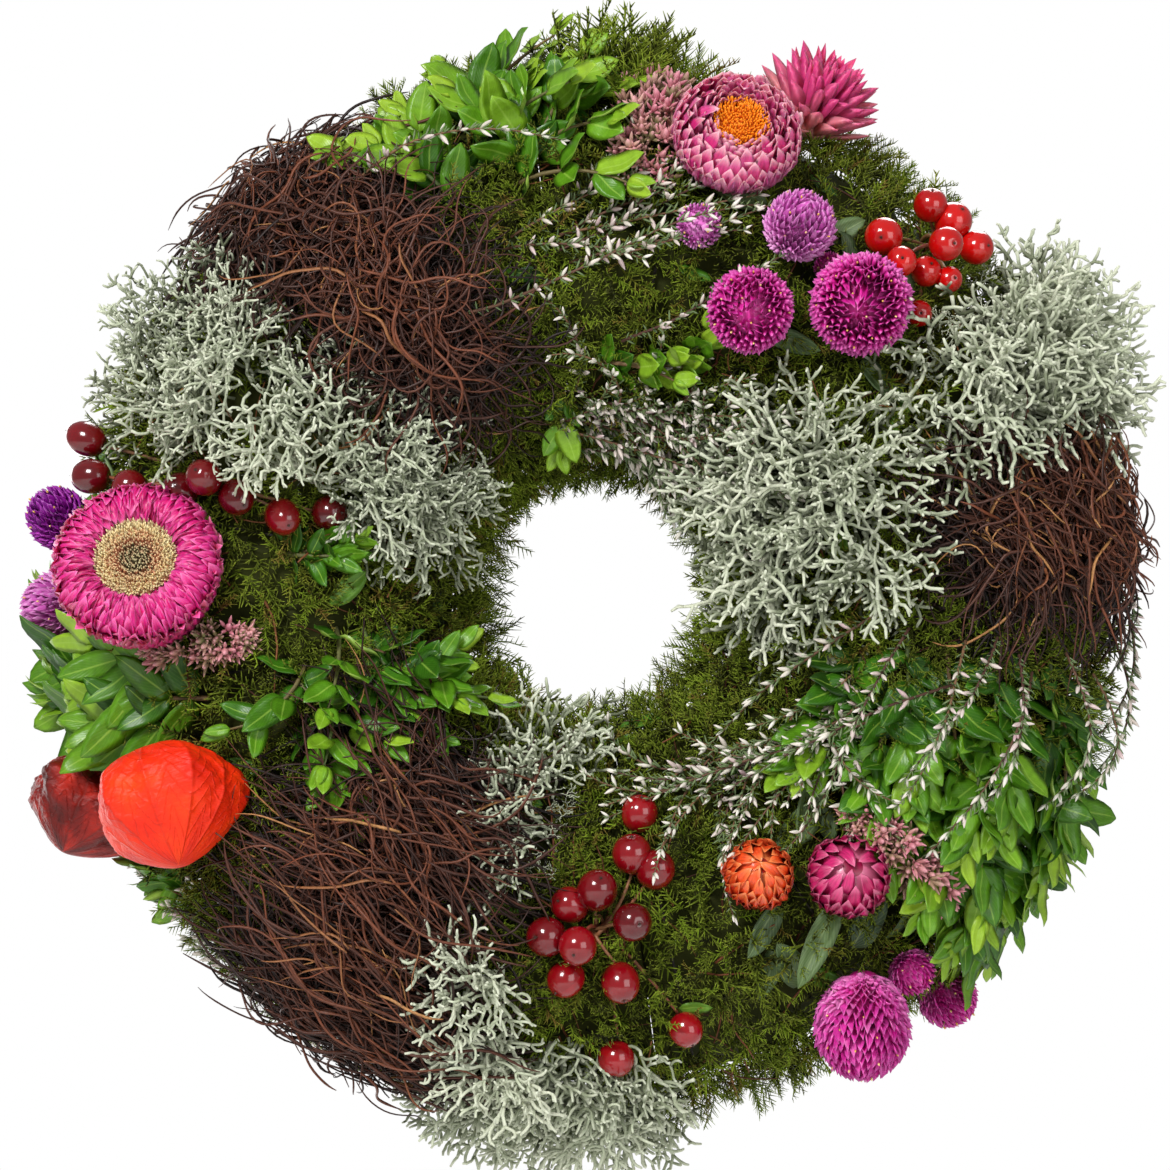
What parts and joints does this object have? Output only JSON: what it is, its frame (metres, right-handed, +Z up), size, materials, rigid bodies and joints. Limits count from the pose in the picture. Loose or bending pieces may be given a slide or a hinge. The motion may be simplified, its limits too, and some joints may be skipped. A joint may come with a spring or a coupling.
{
  "type": "harvest door wreath",
  "caption": "Round autumn wreath on a straw ring wrapped in moss, dressed with dried flowers, berries, twigs, leaves and paper lanterns, with a hinged wire hanger behind",
  "frame": {"origin": "the nail that holds the wreath, inside the top of the hanger when the hanger is turned up", "axes": "+Z up, -Y out of the door towards the viewer, +X to the viewer's right; the flat back lies in y = 0"},
  "size_m": [0.2944, 0.0823, 0.29],
  "materials": {
    "straw": "dry straw, satin stalks",
    "moss": "matte feathery moss",
    "binding_wire": "dark annealed wire",
    "zinc_wire": "galvanised wire",
    "root_fibre": "matte dark root strands",
    "silver_twig": "felted pale grey-green twigs",
    "boxwood_leaf": "satin leathery leaves",
    "heather": "fine green stems with white buds",
    "sedum": "dusty pink and green buds",
    "strawflower_pink": "papery pink petals",
    "bud_orange": "papery orange-red scales",
    "bud_crimson": "papery crimson scales",
    "amaranth_magenta": "papery magenta bracts",
    "amaranth_violet": "papery deep violet bracts",
    "lantern_orange": "veined orange paper shell",
    "lantern_faded": "dull dark red paper shell",
    "berry_bright": "glossy bright red skin",
    "berry_dark": "glossy dark crimson skin"
  },
  "bodies": {
    "wreath": {"straw_ring_base": "straw", "moss_pad_1": "moss", "moss_pad_2": "moss", "moss_pad_3": "moss", "moss_pad_4": "moss", "moss_pad_5": "moss", "moss_pad_6": "moss", "binding_wire": "binding_wire", "hanging_staple": "zinc_wire", "root_nest_upper_left": "root_fibre", "root_nest_right": "root_fibre", "root_nest_lower_left": "root_fibre", "silver_bush_left": "silver_twig", "silver_bush_right_outer": "silver_twig", "silver_bush_right_inner": "silver_twig", "silver_bush_bottom_upper": "silver_twig", "silver_bush_bottom_lower": "silver_twig", "boxwood_top": "boxwood_leaf", "boxwood_inner_top": "boxwood_leaf", "boxwood_left_outer": "boxwood_leaf", "boxwood_left_inner": "boxwood_leaf", "boxwood_left_tip": "boxwood_leaf", "boxwood_rosette": "boxwood_leaf", "boxwood_right": "boxwood_leaf", "heather_top": "heather", "heather_top_edge": "heather", "heather_inner_top": "heather", "heather_right": "heather", "heather_lower_left": "heather", "sedum_top": "sedum", "sedum_left": "sedum", "sedum_lower_right": "sedum", "strawflower_left": "strawflower_pink", "strawflower_top": "strawflower_pink", "strawflower_side": "strawflower_pink", "strawflower_bud_orange": "bud_orange", "strawflower_bud_crimson": "bud_crimson", "amaranth_upper_1": "amaranth_magenta", "amaranth_upper_2": "amaranth_magenta", "amaranth_upper_3": "amaranth_magenta", "amaranth_upper_4": "amaranth_magenta", "amaranth_upper_5": "amaranth_magenta", "amaranth_left_1": "amaranth_violet", "amaranth_left_2": "amaranth_magenta", "amaranth_lower_1": "amaranth_magenta", "amaranth_lower_2": "amaranth_magenta", "amaranth_lower_3": "amaranth_magenta", "physalis_lantern_front": "lantern_orange", "physalis_lantern_rear": "lantern_faded", "berries_upper_right": "berry_bright", "berries_left": "berry_dark", "berries_bottom": "berry_dark"},
    "hanger": {"hanging_loop": "zinc_wire"}
  },
  "joints": [
    {"name": "hanger_swing", "type": "hinge", "parent": "wreath", "child": "hanger", "pos_m": [0, 0.0013, -0.0145], "axis": [1, 0, 0], "range_deg": [0, 180]}
  ]
}
